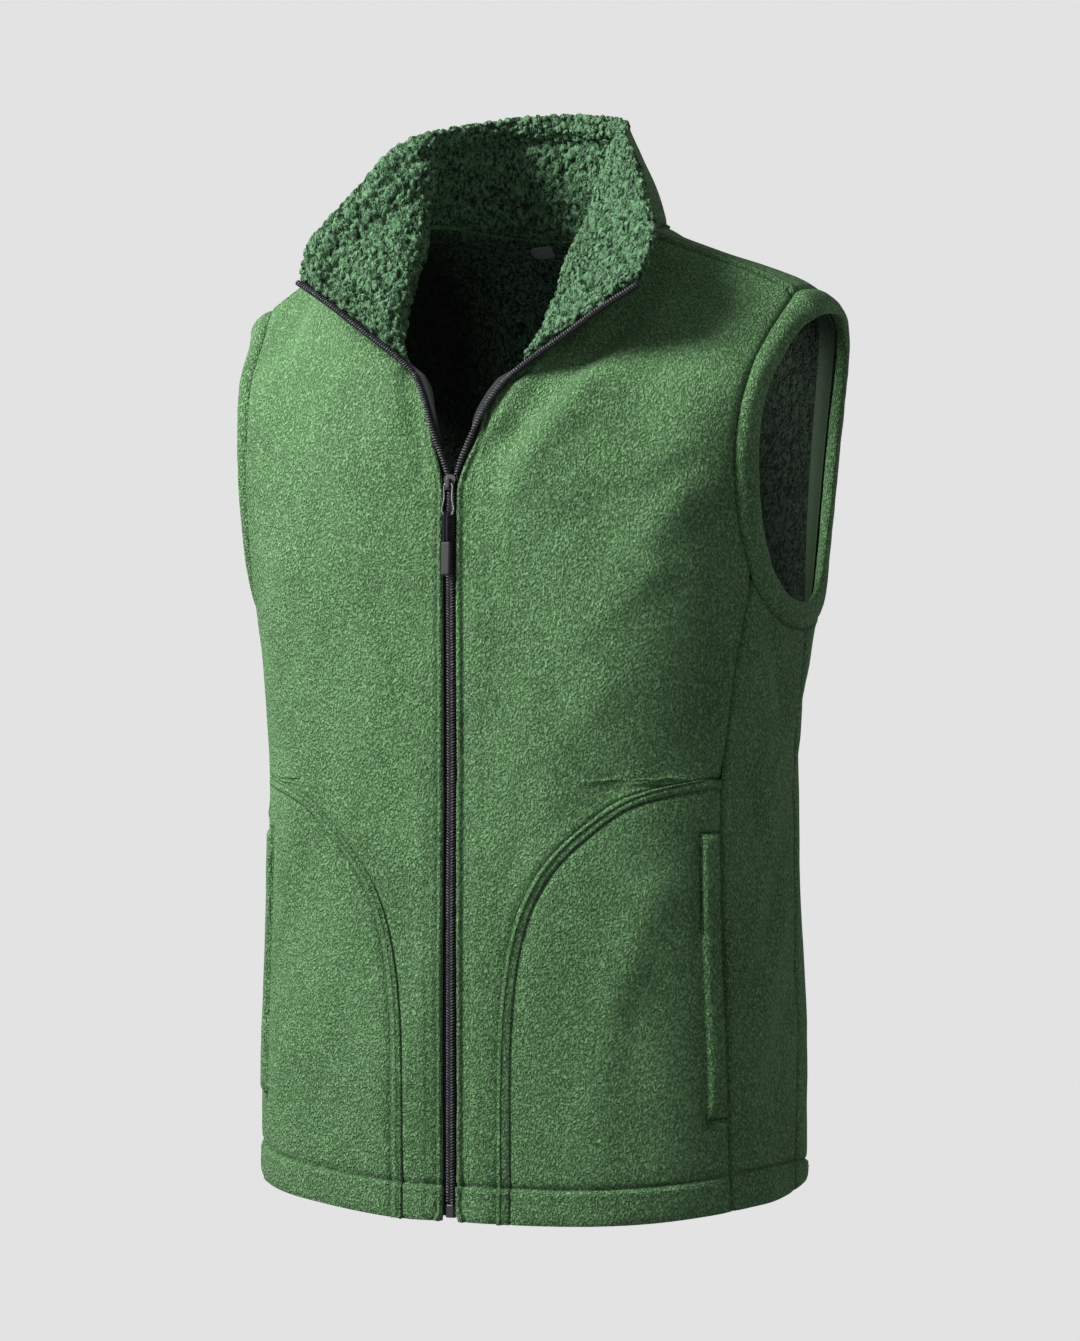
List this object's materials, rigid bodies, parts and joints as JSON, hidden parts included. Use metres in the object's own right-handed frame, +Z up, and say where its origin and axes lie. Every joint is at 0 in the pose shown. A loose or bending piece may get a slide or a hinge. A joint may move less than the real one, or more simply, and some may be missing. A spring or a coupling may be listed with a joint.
{
  "type": "fleece vest",
  "caption": "Sleeveless zip-front fleece vest with curly pile inside, stand collar rolled open, padded armhole bands and curved hand-pocket panels, in its worn hollow form.",
  "frame": {"origin": "between the two neck points of the shoulder seams, on the upright middle line of the hollow, where the shoulders of the wearer carry it", "axes": "+Z up, -Y out of the front, +X towards the wearer's left"},
  "size_m": [0.4704, 0.2568, 0.7922],
  "materials": {
    "green_fleece": "short pebbly nap, matt",
    "green_sherpa": "curly pile, matt",
    "smooth_knit": "smooth knit",
    "woven_tape": "fine woven rib",
    "nylon_coil": "satin",
    "painted_zinc": "glossy black paint",
    "steel_wire": "bright wire",
    "moulded_pvc": "matt, soft"
  },
  "bodies": {
    "vest": {"armhole_band_L": "green_fleece", "armhole_band_R": "green_fleece", "armhole_facing_L": "smooth_knit", "armhole_facing_R": "smooth_knit", "back": "green_fleece", "collar": "green_sherpa", "front_L": "green_fleece", "front_R": "green_fleece", "neck_loop": "woven_tape", "pocket_panel_L": "green_fleece", "pocket_panel_R": "green_fleece", "pocket_welt_L": "green_fleece", "pocket_welt_R": "green_fleece", "side_front_L": "green_fleece", "side_front_R": "green_fleece", "zip_box": "painted_zinc", "zip_coil_L": "nylon_coil", "zip_coil_R": "nylon_coil", "zip_coil_closed": "nylon_coil", "zip_slider": "painted_zinc", "zip_tape_L": "woven_tape", "zip_tape_R": "woven_tape"},
    "pull": {"pull_bail": "steel_wire", "pull_cord_L": "woven_tape", "pull_cord_R": "woven_tape", "pull_tab": "moulded_pvc"}
  },
  "joints": [
    {"name": "pull_hinge", "type": "hinge", "parent": "vest", "child": "pull", "pos_m": [0, -0.12161, -0.18813], "axis": [-1, 0, 0], "range_deg": [0, 160]}
  ]
}
